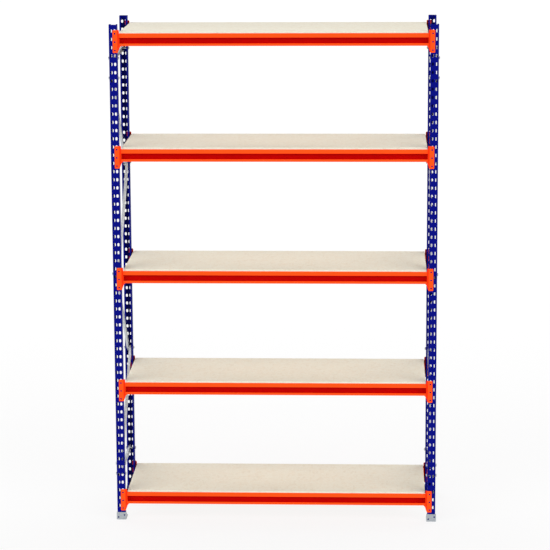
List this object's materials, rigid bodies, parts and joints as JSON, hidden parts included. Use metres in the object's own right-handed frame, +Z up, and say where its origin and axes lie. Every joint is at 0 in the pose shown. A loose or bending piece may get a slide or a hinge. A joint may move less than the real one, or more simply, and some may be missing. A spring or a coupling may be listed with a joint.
{
  "type": "boltless shelving unit",
  "caption": "Boltless steel shelving with perforated uprights, braced end frames, hook-in stepped beams and loose chipboard decks.",
  "frame": {"origin": "on the floor, under the middle of the unit", "axes": "+Z up, +X to the right and -Y towards the front as the unit is seen from the front"},
  "size_m": [1.5912, 0.5296, 2.462],
  "materials": {
    "upright_paint": "deep blue powder coat, semi-gloss",
    "beam_paint": "bright orange powder coat, semi-gloss",
    "deck_board": "pale raw chipboard, matt, fine flakes",
    "shoe_zinc": "galvanised sheet, dull",
    "brace_zinc": "galvanised sheet, dull",
    "bolt_zinc": "zinc-plated, satin"
  },
  "bodies": {
    "frame": {"left_front_upright": "upright_paint", "left_rear_upright": "upright_paint", "right_front_upright": "upright_paint", "right_rear_upright": "upright_paint", "left_front_foot_shoe": "shoe_zinc", "left_rear_foot_shoe": "shoe_zinc", "right_front_foot_shoe": "shoe_zinc", "right_rear_foot_shoe": "shoe_zinc", "left_top_brace": "brace_zinc", "left_bottom_brace": "brace_zinc", "right_top_brace": "brace_zinc", "right_bottom_brace": "brace_zinc", "left_diagonal_brace_1": "brace_zinc", "left_diagonal_brace_2": "brace_zinc", "left_diagonal_brace_3": "brace_zinc", "left_diagonal_brace_4": "brace_zinc", "right_diagonal_brace_1": "brace_zinc", "right_diagonal_brace_2": "brace_zinc", "right_diagonal_brace_3": "brace_zinc", "right_diagonal_brace_4": "brace_zinc", "left_front_bolt_1": "bolt_zinc", "left_front_bolt_2": "bolt_zinc", "left_front_bolt_3": "bolt_zinc", "left_front_bolt_4": "bolt_zinc", "left_front_bolt_5": "bolt_zinc", "left_rear_bolt_1": "bolt_zinc", "left_rear_bolt_2": "bolt_zinc", "left_rear_bolt_3": "bolt_zinc", "left_rear_bolt_4": "bolt_zinc", "right_front_bolt_1": "bolt_zinc", "right_front_bolt_2": "bolt_zinc", "right_front_bolt_3": "bolt_zinc", "right_front_bolt_4": "bolt_zinc", "right_front_bolt_5": "bolt_zinc", "right_rear_bolt_1": "bolt_zinc", "right_rear_bolt_2": "bolt_zinc", "right_rear_bolt_3": "bolt_zinc", "right_rear_bolt_4": "bolt_zinc"},
    "level_1_beams": {"level_1_front_beam": "beam_paint", "level_1_rear_beam": "beam_paint"},
    "level_1_deck_body": {"level_1_deck": "deck_board"},
    "level_2_beams": {"level_2_front_beam": "beam_paint", "level_2_rear_beam": "beam_paint"},
    "level_2_deck_body": {"level_2_deck": "deck_board"},
    "level_3_beams": {"level_3_front_beam": "beam_paint", "level_3_rear_beam": "beam_paint"},
    "level_3_deck_body": {"level_3_deck": "deck_board"},
    "level_4_beams": {"level_4_front_beam": "beam_paint", "level_4_rear_beam": "beam_paint"},
    "level_4_deck_body": {"level_4_deck": "deck_board"},
    "level_5_beams": {"level_5_front_beam": "beam_paint", "level_5_rear_beam": "beam_paint"},
    "level_5_deck_body": {"level_5_deck": "deck_board"}
  },
  "joints": [
    {"name": "level_1_beam_unhook", "type": "slide", "parent": "frame", "child": "level_1_beams", "axis": [0, 0, 1], "range_m": [0, 0.009]},
    {"name": "level_1_deck_lift", "type": "slide", "parent": "level_1_beams", "child": "level_1_deck_body", "axis": [0, 0, 1], "range_m": [0, 0.15]},
    {"name": "level_2_beam_unhook", "type": "slide", "parent": "frame", "child": "level_2_beams", "axis": [0, 0, 1], "range_m": [0, 0.009]},
    {"name": "level_2_deck_lift", "type": "slide", "parent": "level_2_beams", "child": "level_2_deck_body", "axis": [0, 0, 1], "range_m": [0, 0.15]},
    {"name": "level_3_beam_unhook", "type": "slide", "parent": "frame", "child": "level_3_beams", "axis": [0, 0, 1], "range_m": [0, 0.009]},
    {"name": "level_3_deck_lift", "type": "slide", "parent": "level_3_beams", "child": "level_3_deck_body", "axis": [0, 0, 1], "range_m": [0, 0.15]},
    {"name": "level_4_beam_unhook", "type": "slide", "parent": "frame", "child": "level_4_beams", "axis": [0, 0, 1], "range_m": [0, 0.009]},
    {"name": "level_4_deck_lift", "type": "slide", "parent": "level_4_beams", "child": "level_4_deck_body", "axis": [0, 0, 1], "range_m": [0, 0.15]},
    {"name": "level_5_beam_unhook", "type": "slide", "parent": "frame", "child": "level_5_beams", "axis": [0, 0, 1], "range_m": [0, 0.009]},
    {"name": "level_5_deck_lift", "type": "slide", "parent": "level_5_beams", "child": "level_5_deck_body", "axis": [0, 0, 1], "range_m": [0, 0.15]}
  ]
}
